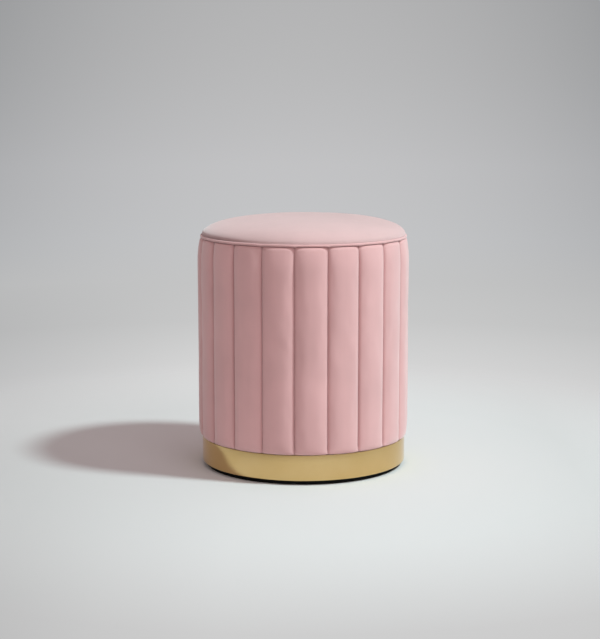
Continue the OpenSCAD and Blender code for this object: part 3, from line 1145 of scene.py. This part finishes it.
# Where each tone starts and is full, in metres from the object's middle
stageReach = {
    "backdrop": (0.5, 5.1),
    "fade": (0.48, 0.85),     # from the lit floor to the backdrop's own tones
    "pool": (0.0, 0.25),      # the near tone's end, of the squared distance aside
    "poolAside": 0.05,
    "edges": (0.0, 2.2),      # both sides, of the squared distance aside
    "lee": (-0.25, -0.85),    # the side away from the key lamp
    "leeAway": (2.4, 1.0),
    "front": (0.3, -0.7),
    "leftFront": (-0.1, -0.4),
}
# Painted shade on the floor and backdrop: to both sides, on the side away from the key lamp, and towards
# the front
stagePaintedShades = {
    "edges": rgb(0.70, 0.71, 0.72),
    "lee": rgb(0.80, 0.80, 0.805),
    "front": rgb(0.91, 0.91, 0.91),
    "leftFront": rgb(0.90, 0.90, 0.90),
}


def sweepShape():
    flat, bend = stageSizes["flat"], stageSizes["bend"]
    steps = stageSizes["flatSteps"]
    outline = [(flat * i / steps, 0) for i in range(steps + 1)]
    outline += arc(flat, bend, bend, -90, 0, stageSizes["bendSteps"])[1:]
    outline.append((flat + bend, stageSizes["height"]))
    bm = turned(outline, stageSizes["steps"])
    bmesh.ops.reverse_faces(bm, faces=bm.faces)
    return bm


def sweepPaper():
    reach, paintedShades = stageReach, stagePaintedShades
    finish = Finish("sweepPaper")
    level = finish.stretched(finish.objectPlace(), (1.0, 1.0, 0.0))
    away = finish.node("VectorMath", {"operation": "LENGTH"}, {0: level})["Value"]
    aside = finish.node("VectorMath", {"operation": "DOT_PRODUCT"}, {0: level, 1: tuple(right)})["Value"]
    along = finish.node("VectorMath", {"operation": "DOT_PRODUCT"}, {0: level, 1: tuple(ahead)})["Value"]
    outwards = finish.spread(away, *reach["backdrop"])
    backdrop = finish.node("ValToRGB", {"stops": backdropGlowTones}, {"Fac": outwards})["Color"]
    # Painted shade on the backdrop, to both sides and on the side away from the key lamp
    edges = finish.spread(aside * aside, *reach["edges"])
    backdrop = finish.mixed(edges, backdrop, paintedShades["edges"], "MULTIPLY")
    lee = finish.spread(aside, *reach["lee"]) * finish.spread(away, *reach["leeAway"])
    backdrop = finish.mixed(lee, backdrop, paintedShades["lee"], "MULTIPLY")
    # Painted pool of light: the floor's near tone, fading to the far tone toward the sides
    pool = finish.spread((aside + reach["poolAside"]) ** 2, *reach["pool"])
    tone = finish.mixed(pool, floorTones["near"], floorTones["far"])
    # Painted shade: a little darker towards the front, most at its left
    front = finish.spread(along, *reach["front"])
    leftFront = finish.spread(aside, *reach["leftFront"]) * front
    for share, shade in ((front, paintedShades["front"]), (leftFront, paintedShades["leftFront"])):
        tone = finish.mixed(share, tone, shade, "MULTIPLY")
        backdrop = finish.mixed(share, backdrop, shade, "MULTIPLY")
    floor = finish.principled(Base_Color=tone, Roughness=0.95, Specular_IOR_Level=0.1)
    # Beyond the near floor the sweep glows with painted light instead of being lit
    glow = finish.node("Emission", None, {"Color": backdrop, "Strength": 1.0})
    path = finish.node("LightPath")
    seen = path["Is Camera Ray"].maths("MAXIMUM", path["Is Glossy Ray"])
    seen = seen * finish.spread(away, *reach["fade"])
    mix = finish.node("MixShader", None, {"Fac": seen, 1: floor["BSDF"], 2: glow["Emission"]})
    finish.output(mix["Shader"])
    return finish.material


sweep = linked("sweep", sweepShape())
paint(sweep, sweepPaper())

# Soft key from the right, a little in front; a broad weak fill; the open world above
lamps = {
    "key": {"turn": -21.5, "rise": 53.3, "away": 4.0, "size": 0.5, "power": 140, "tint": (0.79, 1.0, 1.0)},
    "fill": {"turn": -62, "rise": 30, "away": 2.8, "size": 1.6, "power": 10, "tint": (1.0, 1.0, 1.0)},
}
worldLight = {"strength": 0.58, "tint": rgb(1.0, 0.860, 0.856)}


def addLamp(name):
    lamp = lamps[name]
    data = bpy.data.lights.new(name, "AREA")
    data.shape = "DISK"
    data.size = lamp["size"]
    data.energy = lamp["power"]
    data.color = lamp["tint"]
    lampObject = bpy.data.objects.new(name, data)
    bpy.context.scene.collection.objects.link(lampObject)
    turn, rise = math.radians(lamp["turn"]), math.radians(lamp["rise"])
    level = right * math.cos(turn) + ahead * math.sin(turn)
    target = Vector((0, 0, seamHeight / 2))
    away = (level * math.cos(rise) + Vector((0, 0, 1)) * math.sin(rise)) * lamp["away"]
    lampObject.location = target + away
    lampObject.rotation_euler = (-away).to_track_quat("-Z", "Y").to_euler()
    lampObject.visible_camera = False


def lightWorld():
    world = bpy.data.worlds.new("world")
    world.use_nodes = True
    background = world.node_tree.nodes["Background"]
    background.inputs["Color"].default_value = worldLight["tint"]
    background.inputs["Strength"].default_value = worldLight["strength"]
    bpy.context.scene.world = world


for lampName in lamps:
    addLamp(lampName)
lightWorld()
bpy.context.scene.view_settings.view_transform = "Standard"
print("stage and light made")
